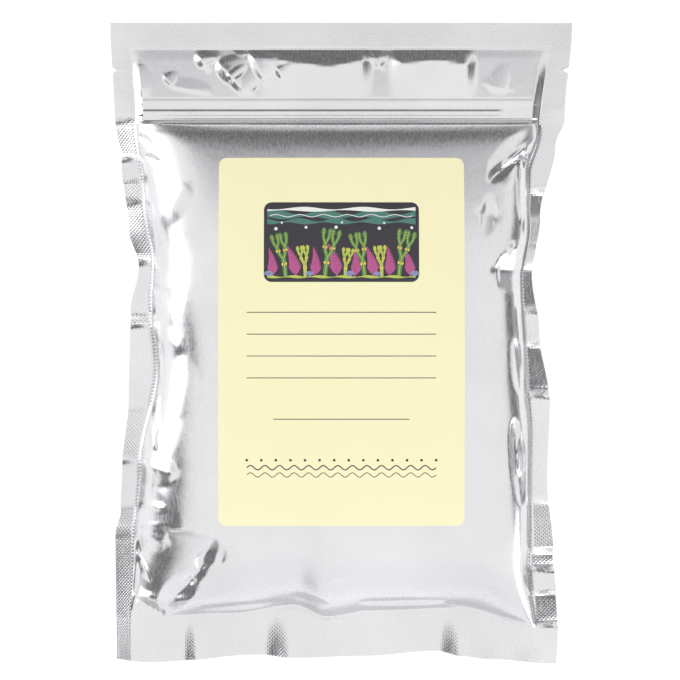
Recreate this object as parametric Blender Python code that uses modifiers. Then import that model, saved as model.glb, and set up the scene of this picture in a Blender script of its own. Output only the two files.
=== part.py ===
# A filled foil pouch with a press-to-close zip, heat-sealed on all four sides, lying on its back.
# It has two foil webs, two zip strips between them, a paper label and the cut dried seaweed inside.
# X runs across the pouch, Y runs from its bottom to its top, and Z points up to the label.
# The origin is under the middle of the pouch, on the surface that it lies on.

import math

import bmesh
import bpy
from mathutils import Vector, noise

# Driving dimensions, in millimetres
MM = 0.001
TOP_EDGE = 135.8
HALF_WIDTH = 97.7
BOTTOM_EDGE_MEAN = -134.0
BOTTOM_LINE_MEAN = -114.0
TOP_SEAL = 11.5
FOIL = 0.4
WEB_GAP = 0.3
LABEL_WIDTH = 101.6
LABEL_HEIGHT = 152.4
LABEL_CORNER = 3.2
LABEL_PAPER = 0.25
LABEL_RISE = 1.0

# The pillow: where the margins hang over the surface, and how far each web bulges from them
SEAL_HEIGHT = 15.0
SEAL_DROOP = 4.0
FRONT_BULGE = 25.0
BACK_BULGE = 22.0

# The pillow's walls as (power, rounding): a high power makes a wall narrow, a low rounding its foot steep
LEFT_WALL = (9.0, 0.85)
RIGHT_WALL = (30.0, 0.55)
BOTTOM_WALL = (6.5, 1.0)
BACK_WALL = (6.0, 0.7)

# The front's top end is a ramp with a low steep wall at the zip, and the wall has this share of the height
TOP_RAMP = (3.5, 1.0)
TOP_WALL = (40.0, 0.6)
TOP_STEP = 0.55

# How much of its height each dome loses from its middle to its ends, and the small puff of the flap
SIDE_CROWN = 0.12
END_CROWN = 0.14
FLAP_PUFF = 1.1
FLAP_PUFF_EDGE = 8.0
FLAP_BACK_SHARE = 0.5

# The zip, as distances along Y
ZIP_LOW = 94.0
ZIP_HIGH = 104.1
ZIP_TRACKS = (97.4, 101.9)
ZIP_TRACK_HALF = 0.95
ZIP_SLOPE = 0.7
ZIP_LIFT = 1.9
ZIP_EMBOSS = 0.6
ZIP_TAPER = 3.5
FLAP_TAPER = 20.0
ZIP_END_GAP = 4.5

# The tear notches
NOTCH_Y = 115.7
NOTCH_HALF = 1.1
LEFT_NOTCH = 2.0
RIGHT_NOTCH = 3.2

# Outlines as (Y, X) or (X, Y): smooth lines through the places where each edge turns
LEFT_EDGE = (
    (TOP_EDGE, -HALF_WIDTH), (95.0, -95.8), (77.0, -92.9), (49.0, -90.0), (33.0, -85.5),
    (14.0, -89.0), (-22.0, -89.7), (-50.0, -92.5), (-69.0, -93.2), (-80.0, -95.7), (-134.0, -95.4),
)
RIGHT_EDGE = (
    (TOP_EDGE, HALF_WIDTH), (95.0, 94.3), (84.0, 90.4), (55.0, 84.0), (31.0, 80.5),
    (9.0, 83.3), (-20.0, 87.9), (-53.0, 86.8), (-83.0, 89.6), (-114.0, 91.7), (-136.0, 91.2),
)
LEFT_LINE = (
    (TOP_EDGE, -89.7), (94.0, -86.9), (60.0, -83.1), (36.0, -79.3), (17.0, -80.4), (-10.0, -78.0),
    (-50.0, -85.0), (-85.0, -87.8), (-117.0, -89.2),
)
RIGHT_LINE = (
    (TOP_EDGE, 88.7), (90.0, 83.5), (72.0, 78.3), (50.0, 78.7), (29.0, 75.6), (-10.0, 77.2), (-34.0, 78.9),
    (-87.0, 78.7), (-121.0, 82.5),
)
BOTTOM_EDGE = (
    (-96.0, -133.7), (-81.0, -134.9), (-36.0, -131.8), (-20.0, -132.6), (9.0, -132.0),
    (40.0, -130.1), (51.0, -132.0), (62.0, -133.3), (92.0, -135.8),
)
BOTTOM_LINE = (
    (-96.0, -116.0), (-46.0, -113.7), (-20.0, -110.2), (-6.0, -115.2), (12.0, -112.7),
    (52.0, -111.4), (81.0, -120.2),
)

# How far the outer edge of each side seal stands over or under its inner edge, as (Y, rise)
LEFT_TILT = (
    (TOP_EDGE, 0.5), (105.0, 0.2), (95.0, -0.4), (77.5, -3.2), (70.8, -0.6), (62.0, -2.6), (58.0, -0.9),
    (35.0, -4.0), (14.0, -0.2), (8.5, -1.9), (2.0, -0.4), (-24.0, 0.0), (-48.0, -1.9), (-66.0, 0.2),
    (-78.0, -0.4), (-105.0, -3.4), (-134.0, -4.0),
)
RIGHT_TILT = (
    (TOP_EDGE, 0.4), (100.0, 0.2), (90.0, -3.2), (64.0, -0.3), (53.0, -3.6), (45.0, -3.2), (35.0, -0.8),
    (21.0, -2.6), (12.0, 0.0), (0.0, 0.1), (-20.0, -3.4), (-40.0, 0.3), (-66.0, -0.3), (-86.0, -2.0),
    (-94.0, -3.8), (-104.0, 0.2), (-118.0, -3.4), (-136.0, 0.0),
)
TOP_WAVE = ((-98.0, 0.5), (-70.0, -0.2), (-20.0, 0.4), (25.0, -0.3), (70.0, 0.3), (98.0, -0.4))
BOTTOM_WAVE = (
    (-96.0, 0.5), (-67.0, -1.2), (-61.0, 1.0), (-33.0, -2.2), (-21.0, 2.4), (12.0, 0.6), (41.0, -1.9),
    (51.0, 1.9), (70.0, 0.4), (92.0, -2.6),
)

# Main folds of the front web: start, end, half width and height, a ridge up and a furrow down
LEAF_TIP = 0.35
FRONT_FOLDS = (
    ((84.0, 88.0), (63.0, 69.0), 7.0, -3.4),
    ((77.0, 29.5), (64.5, 30.0), 9.0, -3.6),
    ((-53.0, -82.0), (-59.5, -93.0), 5.0, -1.9),
    ((-62.0, -98.0), (-75.0, -111.0), 6.0, -2.8),
    ((-81.0, 47.0), (-64.0, 66.0), 7.0, 0.9),
    ((-79.0, 4.0), (-66.0, -2.0), 6.0, 1.2),
    ((-88.0, -17.0), (-76.0, -17.0), 50.0, 4.0),
    ((-84.0, -50.0), (-69.0, -54.0), 6.5, 2.3),
    ((-87.0, -79.0), (-73.0, -82.5), 6.5, 2.2),
    ((-86.0, -108.0), (-76.0, -116.0), 5.0, -2.4),
    ((-84.0, -106.0), (-82.0, -76.0), 44.0, -5.0),
    ((71.5, -32.0), (74.5, -66.0), 4.5, -2.2),
    ((58.0, 54.0), (64.0, 53.0), 9.0, -1.0),
    ((-20.0, -106.0), (-6.0, -110.0), 5.0, -1.2),
    ((44.0, -109.0), (78.0, -119.0), 5.0, -1.2),
    ((-52.0, 119.5), (-42.0, 107.0), 4.5, 1.6),
    ((-38.0, 124.0), (-32.5, 112.5), 4.5, 1.5),
    ((11.0, 124.0), (17.5, 117.0), 4.0, 1.0),
)

# Mesh stations
SEAL_CELLS = 1
ACROSS_CELLS = 22
ACROSS_CROWDING = 0.2
BODY_CELLS = 44
BODY_CROWDING = 0.12
END_SEAL_CELLS = 2
FILL_CELLS = (17, 24, 3)
LABEL_CELLS = (10, 15)

# The filling: how far it stays from the webs, the size of its cut pieces and its least thickness
FILL_REACH = 0.92
FILL_CROWDING = 0.12
FILL_CLEARANCE = 1.7
FILL_RELIEF = 2.2
FILL_GRAIN = 9.0
FILL_LEAST = 1.6


def smooth_path(points, at):
    """Height of a smooth line through points given from high to low or low to high, clamped at its ends."""
    line = sorted(points)
    if at <= line[0][0]:
        return line[0][1]
    if at >= line[-1][0]:
        return line[-1][1]
    after = next(i for i, point in enumerate(line) if point[0] > at)
    (start, low), (end, high) = line[after - 1], line[after]
    share = (at - start) / (end - start)
    return low + (high - low) * share * share * (3 - 2 * share)


def blend(start, end, share):
    return start + (end - start) * share


def plateau(value, low, high, ramp):
    """1 between low and high, falling to 0 within a ramp outside them."""
    outside = max(low - value, value - high, 0.0)
    return max(0.0, 1 - outside / ramp)


def fold_height(x, y, folds):
    """Sum of straight folds, each a leaf: widest and highest half way, and pointed at both ends."""
    total = 0.0
    for start, end, half_width, height in folds:
        along = Vector(end) - Vector(start)
        share = min(max((Vector((x, y)) - Vector(start)).dot(along) / along.length_squared, 0.0), 1.0)
        distance = (Vector((x, y)) - Vector(start) - along * share).length
        leaf = LEAF_TIP + (1 - LEAF_TIP) * math.sqrt(4 * share * (1 - share))
        total += height * leaf * max(0.0, 1 - distance / (half_width * leaf))
    return total


def pouch_place(across, along):
    """The place in X and Y of a spot on the pouch.

    across is -2 and 2 at the side edges and -1 and 1 at the side seals' inner edges.
    along is -2 at the bottom edge, -1 at the bottom seal's inner edge, 1 and 2 at the zip's two edges,
    3 at the top seal's inner edge and 4 at the top edge.
    """
    top_line = TOP_EDGE - TOP_SEAL
    marks = (
        (-2, BOTTOM_EDGE_MEAN), (-1, BOTTOM_LINE_MEAN), (1, ZIP_LOW), (2, ZIP_HIGH),
        (3, top_line), (4, TOP_EDGE),
    )
    after = next(i for i in range(1, len(marks)) if along <= marks[i][0])
    (low, low_y), (high, high_y) = marks[after - 1], marks[after]
    y = blend(low_y, high_y, (along - low) / (high - low))
    left, right = smooth_path(LEFT_EDGE, y), smooth_path(RIGHT_EDGE, y)
    outside = max(0.0, abs(across) - 1)
    notch = max(0.0, 1 - abs(y - NOTCH_Y) / NOTCH_HALF) * outside**4
    inner_left, inner_right = smooth_path(LEFT_LINE, y), smooth_path(RIGHT_LINE, y)
    if across < -1:
        x = blend(inner_left, left, outside) + notch * LEFT_NOTCH
    elif across > 1:
        x = blend(inner_right, right, outside) - notch * RIGHT_NOTCH
    else:
        x = blend(inner_left, inner_right, (across + 1) / 2)
    if along < 1:
        bottom, line = smooth_path(BOTTOM_EDGE, x), smooth_path(BOTTOM_LINE, x)
        y = blend(line, ZIP_LOW, (along + 1) / 2) if along > -1 else blend(bottom, line, along + 2)
    return x, y


def seal_height(x, y, across, along):
    """The height of the plane between the two webs, with the slow waves of the four margins."""
    outside = max(0.0, abs(across) - 1)
    tilt = smooth_path(LEFT_TILT if across < 0 else RIGHT_TILT, y)
    top_share = max(0.0, along - 2) / 2
    bottom_share = max(0.0, -along - 1)
    waves = smooth_path(TOP_WAVE, x) * top_share + smooth_path(BOTTOM_WAVE, x) * bottom_share
    return SEAL_HEIGHT - SEAL_DROOP * (y / TOP_EDGE) ** 2 + tilt * outside + waves


def dome(share, crown, wall):
    """A gentle crown that ends in a wall: 1 in the middle and 0 at a share of 1."""
    power, rounding = wall
    return (1 - crown * share**2) * (1 - abs(share) ** power) ** rounding


def front_bulge(across, along):
    """The share of the front's full bulge at a spot, 0 at the seals and the zip."""
    if abs(across) >= 1 or abs(along) >= 1:
        return 0.0
    side = dome(across, SIDE_CROWN, RIGHT_WALL if across > 0 else LEFT_WALL)
    if along <= 0:
        return side * dome(along, END_CROWN, BOTTOM_WALL)
    return side * blend(dome(along, END_CROWN, TOP_RAMP), dome(along, END_CROWN, TOP_WALL), TOP_STEP)


def back_bulge(across, along):
    """The share of the back's full bulge at a spot."""
    if abs(across) >= 1 or abs(along) >= 1:
        return 0.0
    return dome(across, SIDE_CROWN, BACK_WALL) * dome(along, END_CROWN, BACK_WALL)


def zip_lift(x, y, across):
    """How far each web is held off the middle plane by the zip strip behind it."""
    inside = min(1.0, max(0.0, 1 - abs(across)) * HALF_WIDTH / ZIP_TAPER)
    return ZIP_LIFT * inside * plateau(y, ZIP_LOW, ZIP_HIGH, FLAP_TAPER if y > ZIP_HIGH else ZIP_TAPER)


def flap_puff(across, along):
    """The small space between the webs of the flap over the zip."""
    inside = min(1.0, max(0.0, 1 - abs(across)) * HALF_WIDTH / FLAP_PUFF_EDGE)
    return FLAP_PUFF * inside * max(0.0, 1 - abs(along - 2.5) * 2)


def front_height(x, y, across, along):
    embossed = 0.0
    for track in ZIP_TRACKS:
        embossed += plateau(y, track - ZIP_TRACK_HALF, track + ZIP_TRACK_HALF, ZIP_SLOPE)
    inside = min(1.0, max(0.0, 1 - abs(across)) * HALF_WIDTH / ZIP_TAPER)
    lift = FRONT_BULGE * front_bulge(across, along) + zip_lift(x, y, across) + flap_puff(across, along)
    lift += ZIP_EMBOSS * embossed * inside
    folds = fold_height(x, y, FRONT_FOLDS) * inside
    return seal_height(x, y, across, along) + (FOIL + WEB_GAP) / 2 + max(0.0, lift + folds)


def back_height(x, y, across, along):
    drop = BACK_BULGE * back_bulge(across, along) + zip_lift(x, y, across)
    drop += FLAP_BACK_SHARE * flap_puff(across, along)
    return max(FOIL / 2, seal_height(x, y, across, along) - (FOIL + WEB_GAP) / 2 - drop)


def even_stations(start, end, cells):
    return [blend(start, end, i / cells) for i in range(cells)]


def crowded_stations(cells, crowding):
    """Stations from -1 to 1, closer together towards both ends."""
    evenly = (blend(-1, 1, i / cells) for i in range(cells))
    return [t + crowding * math.sin(math.pi * t) for t in evenly]


def across_stations():
    inner = crowded_stations(ACROSS_CELLS, ACROSS_CROWDING)
    return even_stations(-2, -1, SEAL_CELLS) + inner + even_stations(1, 2, SEAL_CELLS) + [2]


def zip_stations():
    """One station on each edge of each embossed track."""
    stations = [1]
    foot = ZIP_TRACK_HALF + ZIP_SLOPE
    for track in ZIP_TRACKS:
        for offset in (-foot, -ZIP_TRACK_HALF, ZIP_TRACK_HALF, foot):
            stations.append(1 + (track + offset - ZIP_LOW) / (ZIP_HIGH - ZIP_LOW))
    return stations


def flap_stations():
    """Stations of the flap, with three on each tear notch."""
    length = TOP_EDGE - TOP_SEAL - ZIP_HIGH
    notch = [2 + (NOTCH_Y + offset - ZIP_HIGH) / length for offset in (-NOTCH_HALF, 0, NOTCH_HALF)]
    return [2] + even_stations(2, notch[0], 3)[1:] + notch + even_stations(notch[2], 3, 2)[1:]


def along_stations():
    """Both webs share these stations, so that their margins lie on each other."""
    body = crowded_stations(BODY_CELLS, BODY_CROWDING)
    top_seal = even_stations(3, 4, END_SEAL_CELLS) + [4]
    return even_stations(-2, -1, END_SEAL_CELLS) + body + zip_stations() + flap_stations() + top_seal


def collection_of(name):
    found = bpy.data.collections.new(name)
    bpy.context.scene.collection.children.link(found)
    return found


def material_of(name, color, metallic, roughness):
    material = bpy.data.materials.new(name)
    material.use_nodes = True
    shader = material.node_tree.nodes["Principled BSDF"]
    shader.inputs["Base Color"].default_value = (*color, 1)
    shader.inputs["Metallic"].default_value = metallic
    shader.inputs["Roughness"].default_value = roughness
    return material


def adopt(thing, name, home, material):
    """Name the new object, move it to the pouch's collection and give it its material."""
    thing.name = name
    thing.data.name = name
    for old_home in list(thing.users_collection):
        old_home.objects.unlink(thing)
    home.objects.link(thing)
    thing.data.materials.clear()
    thing.data.materials.append(material)
    return thing


def add_grid(columns, rows):
    """A flat grid of columns by rows cells, from -1 to 1 in X and Y."""
    bpy.ops.mesh.primitive_grid_add(x_subdivisions=columns, y_subdivisions=rows, size=2)
    return bpy.context.active_object


def thicken(thing, thickness):
    """Give a sheet its thickness, split into the same triangles on both of its faces."""
    split = thing.modifiers.new("Triangles", "TRIANGULATE")
    split.quad_method = "FIXED"
    solidify = thing.modifiers.new("Thickness", "SOLIDIFY")
    solidify.thickness = thickness * MM
    solidify.offset = 0


def foil_web(name, home, material, height):
    """One web of foil: a grid laid through the pouch's stations, then given its thickness."""
    across, along = across_stations(), along_stations()
    columns, rows = len(across) - 1, len(along) - 1
    web = adopt(add_grid(columns, rows), name, home, material)
    for vertex in web.data.vertices:
        u = across[round((vertex.co.x + 1) / 2 * columns)]
        v = along[round((vertex.co.y + 1) / 2 * rows)]
        x, y = pouch_place(u, v)
        vertex.co = Vector((x, y, height(x, y, u, v))) * MM
    thicken(web, FOIL)
    web.data.shade_smooth()
    web.data.set_sharp_from_angle(angle=math.radians(40))
    return web


def flat_spot(x, y):
    """Where X and Y fall on the pouch, as across and along, for pieces laid on or in the filled part."""
    left, right = smooth_path(LEFT_LINE, y), smooth_path(RIGHT_LINE, y)
    line = smooth_path(BOTTOM_LINE, x)
    return 2 * (x - left) / (right - left) - 1, 2 * (y - line) / (ZIP_LOW - line) - 1


def label_stations(length, cells):
    """Stations along one side of the label, with two in each rounded corner."""
    half = length / 2
    inner = half - LABEL_CORNER
    middle = even_stations(-inner, inner, cells)
    return [-half, -half + 0.4 * LABEL_CORNER] + middle + [inner, half - 0.4 * LABEL_CORNER, half]


def label_piece(home, material):
    """The paper label: a grid with its corners drawn in to arcs, laid on the front web."""
    across = label_stations(LABEL_WIDTH, LABEL_CELLS[0])
    along = label_stations(LABEL_HEIGHT, LABEL_CELLS[1])
    columns, rows = len(across) - 1, len(along) - 1
    label = adopt(add_grid(columns, rows), "label", home, material)
    for vertex in label.data.vertices:
        x = across[round((vertex.co.x + 1) / 2 * columns)]
        y = along[round((vertex.co.y + 1) / 2 * rows)]
        past_x = max(0.0, abs(x) - LABEL_WIDTH / 2 + LABEL_CORNER)
        past_y = max(0.0, abs(y) - LABEL_HEIGHT / 2 + LABEL_CORNER)
        if past_x and past_y:
            pull = 1 - max(past_x, past_y) / math.hypot(past_x, past_y)
            x -= math.copysign(past_x * pull, x)
            y -= math.copysign(past_y * pull, y)
        y += LABEL_RISE
        z = front_height(x, y, *flat_spot(x, y)) + FOIL / 2 + WEB_GAP + LABEL_PAPER / 2
        vertex.co = Vector((x, y, z)) * MM
    thicken(label, LABEL_PAPER)
    return label


def zip_strip(name, home, material, section):
    """One zip strip: its section in Y and in height over the middle plane, drawn out along X."""
    middle = sum(ZIP_TRACKS) / 2
    left = smooth_path(LEFT_LINE, middle) + ZIP_END_GAP
    right = smooth_path(RIGHT_LINE, middle) - ZIP_END_GAP
    curve = bpy.data.curves.new(name, "CURVE")
    curve.dimensions = "2D"
    curve.fill_mode = "BOTH"
    curve.extrude = (right - left) / 2 * MM
    outline = curve.splines.new("POLY")
    outline.points.add(len(section) - 1)
    for point, (y, height) in zip(outline.points, section):
        point.co = (y * MM, (height + seal_height(0, y, 0, 0)) * MM, 0, 1)
    outline.use_cyclic_u = True
    strip = bpy.data.objects.new(name, curve)
    home.objects.link(strip)
    curve.materials.append(material)
    strip.location.x = (left + right) / 2 * MM
    strip.rotation_euler = (math.pi / 2, 0, math.pi / 2)
    return strip


def groove_section():
    """The strip behind the front web: a flange with two pairs of hooked jaws that open to the back."""
    flange_out, flange_in, jaw_end, hook_top = 1.7, 1.3, -0.35, 0.05
    jaw_outer, jaw_inner, mouth = 1.75, 1.15, 0.65
    section = [(ZIP_HIGH, flange_in), (ZIP_HIGH, flange_out), (ZIP_LOW, flange_out), (ZIP_LOW, flange_in)]
    for track in ZIP_TRACKS:
        section += [
            (track - jaw_outer, flange_in), (track - jaw_outer, jaw_end), (track - mouth, jaw_end),
            (track - jaw_inner, hook_top), (track - jaw_inner, flange_in), (track + jaw_inner, flange_in),
            (track + jaw_inner, hook_top), (track + mouth, jaw_end), (track + jaw_outer, jaw_end),
            (track + jaw_outer, flange_in),
        ]
    return section


def rib_section():
    """The strip on the back web: a flange with two arrow-headed ribs that stand in the grooves."""
    flange_out, flange_in, neck, tip = -1.7, -1.3, 0.45, 0.95
    stem_half, head_half, tip_half = 0.3, 0.8, 0.35
    section = [(ZIP_HIGH, flange_in), (ZIP_HIGH, flange_out), (ZIP_LOW, flange_out), (ZIP_LOW, flange_in)]
    for track in ZIP_TRACKS:
        section += [
            (track - stem_half, flange_in), (track - stem_half, neck), (track - head_half, neck),
            (track - tip_half, tip), (track + tip_half, tip), (track + head_half, neck),
            (track + stem_half, neck), (track + stem_half, flange_in),
        ]
    return section


def cut_pieces(x, y, z):
    """How far the filling's surface lies inside its web, as the flat tops of cut pieces."""
    spot = Vector((x, y, z)) / FILL_GRAIN
    return FILL_CLEARANCE + FILL_RELIEF * abs(noise.cell(spot))


def herb_filling(home, material):
    """The filling: a cube cut finely, laid between the webs and given the relief of cut pieces."""
    bpy.ops.mesh.primitive_cube_add(size=2)
    filling = adopt(bpy.context.active_object, "herb_fill", home, material)
    shape = bmesh.new()
    shape.from_mesh(filling.data)
    for axis, cells in enumerate(FILL_CELLS):
        edges = [edge for edge in shape.edges if abs(edge.verts[0].co[axis] - edge.verts[1].co[axis]) > 1e-6]
        bmesh.ops.subdivide_edges(shape, edges=edges, cuts=cells - 1, use_grid_fill=True)
    for vertex in shape.verts:
        u, v = (FILL_REACH * (co + FILL_CROWDING * math.sin(math.pi * co)) for co in vertex.co[:2])
        x, y = pouch_place(u, v)
        top = front_height(x, y, u, v) - FOIL / 2
        bottom = back_height(x, y, u, v) + FOIL / 2
        most = (top - bottom - FILL_LEAST) / 2
        top -= min(most, cut_pieces(x, y, SEAL_HEIGHT))
        bottom += min(most, cut_pieces(x, y, -SEAL_HEIGHT))
        vertex.co = Vector((x, y, blend(bottom, top, (vertex.co.z + 1) / 2))) * MM
    shape.to_mesh(filling.data)
    shape.free()
    return filling


def build():
    for thing in list(bpy.data.objects):
        bpy.data.objects.remove(thing, do_unlink=True)
    home = collection_of("foil_pouch")
    front_foil = material_of("front_foil", (0.80, 0.80, 0.81), 1.0, 0.28)
    back_foil = material_of("back_foil", (0.76, 0.76, 0.77), 1.0, 0.32)
    groove_plastic = material_of("groove_plastic", (0.86, 0.87, 0.88), 0.0, 0.40)
    rib_plastic = material_of("rib_plastic", (0.82, 0.83, 0.85), 0.0, 0.42)
    paper = material_of("label_paper", (0.98, 0.94, 0.64), 0.0, 0.55)
    seaweed = material_of("dried_seaweed", (0.06, 0.05, 0.03), 0.0, 0.85)
    foil_web("front_panel", home, front_foil, front_height)
    foil_web("back_panel", home, back_foil, back_height)
    zip_strip("zip_groove_strip", home, groove_plastic, groove_section())
    zip_strip("zip_rib_strip", home, rib_plastic, rib_section())
    label_piece(home, paper)
    herb_filling(home, seaweed)


build()
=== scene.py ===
# %% [markdown]
# A filled foil pouch, from its imported model to a finished picture.
#
# The imported model gives the pouch's true size: two webs of foil, two zip strips, a label and the filling.
# This lesson keeps every one of those places and gives the foil its folds, knurling and shine.
# It starts by loading the model. The finished pouch has to stay in it.

import math

import bpy
import numpy as np
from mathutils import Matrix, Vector, noise


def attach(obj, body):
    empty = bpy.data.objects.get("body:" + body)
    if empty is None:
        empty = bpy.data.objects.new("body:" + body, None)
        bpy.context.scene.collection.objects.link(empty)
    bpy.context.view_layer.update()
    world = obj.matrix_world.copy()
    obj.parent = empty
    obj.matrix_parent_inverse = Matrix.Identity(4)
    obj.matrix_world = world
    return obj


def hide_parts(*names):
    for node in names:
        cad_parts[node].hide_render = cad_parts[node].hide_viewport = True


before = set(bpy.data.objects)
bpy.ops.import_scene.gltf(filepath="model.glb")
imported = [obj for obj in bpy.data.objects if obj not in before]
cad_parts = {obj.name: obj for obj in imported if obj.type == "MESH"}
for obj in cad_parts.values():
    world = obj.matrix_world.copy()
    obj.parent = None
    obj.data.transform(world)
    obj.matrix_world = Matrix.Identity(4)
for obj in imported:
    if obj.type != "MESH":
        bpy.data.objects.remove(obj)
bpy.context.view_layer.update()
MM = 0.001

# %% [markdown]
# The camera hangs straight over the pouch, with the pouch's top at the top of the picture.
#
# Its height sets how much larger the label, which lies high, looks than the margins, which hang low.
# The label and the margins give two scales, and those two scales give the height and the lens.

# %% Camera
CAMERA_PLACE = (-0.6, 1.6, 1040.0)
LENS = 128.6
bpy.ops.object.camera_add(location=Vector(CAMERA_PLACE) * MM, rotation=(0, 0, 0))
camera = bpy.context.active_object
camera.name = "camera_over_pouch"
camera.data.lens = LENS
bpy.context.scene.camera = camera
print("camera", [round(value, 4) for value in camera.location], "lens", LENS)

# %% [markdown]
# The outline of the pouch is a few smooth lines through the places where each edge turns.
#
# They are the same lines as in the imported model, in millimetres, so the finished foil lies on the plain one.
# Only the two tilts, which fold the side margins, are sharper here. X runs across the pouch, Y up it.

# %% The pouch's lines, in millimetres
TOP_EDGE, TOP_SEAL = 135.8, 11.5
HALF_WIDTH = 97.7
LEFT_SEAL, RIGHT_SEAL = 8.0, 9.0
ZIP_LOW, ZIP_HIGH = 94.0, 104.1
LEFT_EDGE = (
    (135.8, -97.7), (95.0, -95.8), (77.0, -92.9), (49.0, -90.0), (33.0, -85.5),
    (14.0, -89.0), (-22.0, -89.7), (-50.0, -92.5), (-69.0, -93.2), (-80.0, -95.7), (-134.0, -95.4),
)
RIGHT_EDGE = (
    (135.8, 97.7), (95.0, 94.3), (84.0, 90.4), (55.0, 84.0), (31.0, 80.5),
    (9.0, 83.3), (-20.0, 87.9), (-53.0, 86.8), (-83.0, 89.6), (-114.0, 91.7), (-136.0, 91.2),
)
LEFT_LINE = (
    (135.8, -89.7), (94.0, -86.9), (60.0, -83.1), (36.0, -79.3), (17.0, -80.4), (-10.0, -78.0),
    (-50.0, -85.0), (-85.0, -87.8), (-117.0, -89.2),
)
RIGHT_LINE = (
    (135.8, 88.7), (90.0, 83.5), (72.0, 78.3), (50.0, 78.7), (29.0, 75.6), (-10.0, 77.2), (-34.0, 78.9),
    (-87.0, 78.7), (-121.0, 82.5),
)
BOTTOM_EDGE = (
    (-96.0, -133.7), (-81.0, -134.9), (-36.0, -131.8), (-20.0, -132.6), (9.0, -132.0),
    (40.0, -130.1), (51.0, -132.0), (62.0, -133.3), (92.0, -135.8),
)
BOTTOM_LINE = (
    (-96.0, -116.0), (-46.0, -113.7), (-20.0, -110.2), (-6.0, -115.2), (12.0, -112.7),
    (52.0, -111.4), (81.0, -120.2),
)
LEFT_TILT = (
    (135.8, 0.5), (105.0, 0.2), (97.5, -0.3), (93.0, -3.7), (80.0, -4.0), (76.5, -1.0), (71.0, -0.8),
    (68.0, -2.4), (61.5, -2.2), (58.0, -3.6), (37.0, -3.5), (32.5, -0.3), (15.0, -0.2), (12.0, -2.4),
    (8.5, -2.2), (6.0, -0.4), (-24.0, -0.2), (-29.0, -1.7), (-48.0, -1.6), (-52.0, 0.1), (-66.0, 0.2),
    (-70.0, -1.6), (-78.0, -2.0), (-82.0, -3.0), (-112.0, -3.3), (-134.0, -3.3),
)
RIGHT_TILT = (
    (135.8, 0.4), (100.0, 0.2), (92.0, -0.5), (66.0, -0.3), (63.0, -2.8), (54.5, -2.7), (51.5, -1.3),
    (41.5, -1.2), (39.5, -0.2), (34.0, -0.2), (31.5, -2.3), (15.5, -2.9), (13.0, -0.2), (1.5, 0.0),
    (-1.5, -3.5), (-19.5, -4.7), (-23.0, -0.2), (-40.0, 0.3), (-64.0, -0.3), (-68.0, -2.0), (-86.0, -2.6),
    (-89.0, -5.0), (-93.5, -5.0), (-96.5, 0.1), (-103.5, 0.2), (-106.5, -4.7), (-117.5, -4.5),
    (-120.5, -0.4), (-136.0, 0.0),
)
TOP_WAVE = ((-98.0, 0.5), (-70.0, -0.2), (-20.0, 0.4), (25.0, -0.3), (70.0, 0.3), (98.0, -0.4))
BOTTOM_WAVE = (
    (-96.0, 0.5), (-67.0, -1.2), (-61.0, 1.0), (-33.0, -2.2), (-21.0, 2.4), (12.0, 0.6), (41.0, -1.9),
    (51.0, 1.9), (70.0, 0.4), (92.0, -2.6),
)


def smooth_path(points, at):
    """Height of a smooth line through the points at each place, held at its ends."""
    line = np.array(sorted(points))
    at = np.clip(at, line[0, 0], line[-1, 0])
    after = np.clip(np.searchsorted(line[:, 0], at, side="right"), 1, len(line) - 1)
    share = (at - line[after - 1, 0]) / (line[after, 0] - line[after - 1, 0])
    return line[after - 1, 1] + (line[after, 1] - line[after - 1, 1]) * share**2 * (3 - 2 * share)


def blend(start, end, share):
    return start + (end - start) * share


print("width at the top edge:", smooth_path(RIGHT_EDGE, TOP_EDGE) - smooth_path(LEFT_EDGE, TOP_EDGE))

# %% [markdown]
# Every spot on the foil has two numbers of its own, across and along, whatever the outline does.
#
# Across is -1 and 1 at the side seals' inner edges, and -2 and 2 at the outer edges.
# Along is -2 at the bottom edge, -1 at the bottom seal's inner edge, 1 and 2 at the zip's edges,
# 3 at the top seal's inner edge and 4 at the top edge. One function turns them into millimetres.

# %% Places on the foil
MARKS = ((-2, -134.0), (-1, -114.0), (1, ZIP_LOW), (2, ZIP_HIGH), (3, TOP_EDGE - TOP_SEAL), (4, TOP_EDGE))


def pouch_place(across, along):
    """X and Y in millimetres of spots on the foil."""
    marks = np.array(MARKS)
    y = np.interp(along, marks[:, 0], marks[:, 1])
    left, right = smooth_path(LEFT_EDGE, y), smooth_path(RIGHT_EDGE, y)
    inner_left, inner_right = smooth_path(LEFT_LINE, y), smooth_path(RIGHT_LINE, y)
    outside = np.maximum(0, np.abs(across) - 1)
    x = blend(inner_left, inner_right, (across + 1) / 2)
    x = np.where(across < -1, blend(inner_left, left, outside), x)
    x = np.where(across > 1, blend(inner_right, right, outside), x)
    bottom, line = smooth_path(BOTTOM_EDGE, x), smooth_path(BOTTOM_LINE, x)
    filled = blend(line, ZIP_LOW, (along + 1) / 2)
    y = np.where(along < 1, np.where(along > -1, filled, blend(bottom, line, along + 2)), y)
    return x, y


print("the zip's left end:", [round(float(value), 1) for value in pouch_place(np.array(-1.0), np.array(1.5))])

# %% [markdown]
# The filling pushes the two webs apart into a boxy pillow, while the margins stay pressed together.
#
# A dome with a high power is nearly flat on top and has a steep wall, as a pouch full of cut herb has.
# The main folds are leaves along straight lines: they are the creases that the camera sees first.

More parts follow.
